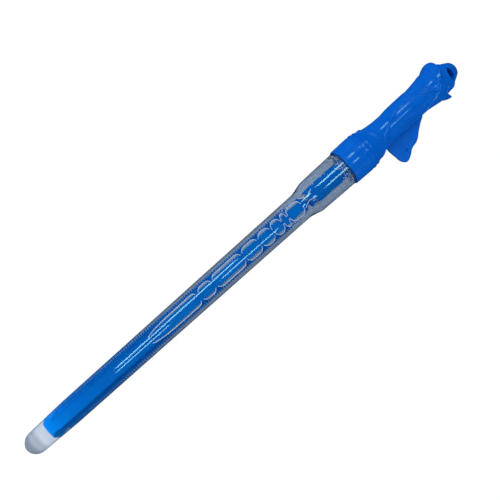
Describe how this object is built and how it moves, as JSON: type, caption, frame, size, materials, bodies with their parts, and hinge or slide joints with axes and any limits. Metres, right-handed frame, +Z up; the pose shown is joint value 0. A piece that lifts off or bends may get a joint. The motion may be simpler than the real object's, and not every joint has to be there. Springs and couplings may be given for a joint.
{
  "type": "bubble wand",
  "caption": "Bubble wand: a clear domed tube of bubble solution, closed by a screw cap that carries a ridged slotted wand inside and a waisted grip with a leaf tab and an eyelet.",
  "frame": {"origin": "middle of the object's footprint, on the surface that it lies on", "axes": "+X from the tube's domed end to the grip's end, +Z up, leaf tab toward -Y"},
  "size_m": [0.4598, 0.0502, 0.0347],
  "materials": {
    "clear_plastic": "clear polished plastic",
    "solution": "clear liquid",
    "natural_foam": "natural foam liner",
    "blue_plastic": "satin moulded plastic"
  },
  "bodies": {
    "tube_body": {"tube": "clear_plastic", "bubble_solution": "solution"},
    "seal_body": {"cap_seal": "natural_foam"},
    "wand_body": {"screw_cap": "blue_plastic", "wand_stem": "blue_plastic", "wand_blade": "blue_plastic", "grip_front_shell": "blue_plastic", "grip_rear_shell": "blue_plastic"}
  },
  "joints": [
    {"name": "wand_pull", "type": "slide", "parent": "tube_body", "child": "seal_body", "axis": [0.9998, 0, 0.0188], "range_m": [0, 0.345], "deforming": ["bubble_solution"]},
    {"name": "cap_turn", "type": "hinge", "parent": "seal_body", "child": "wand_body", "pos_m": [0.12303, 0.00658, 0.0165], "axis": [0.9998, 0, 0.0188], "range_deg": [0, 540], "deforming": ["bubble_solution"]}
  ]
}
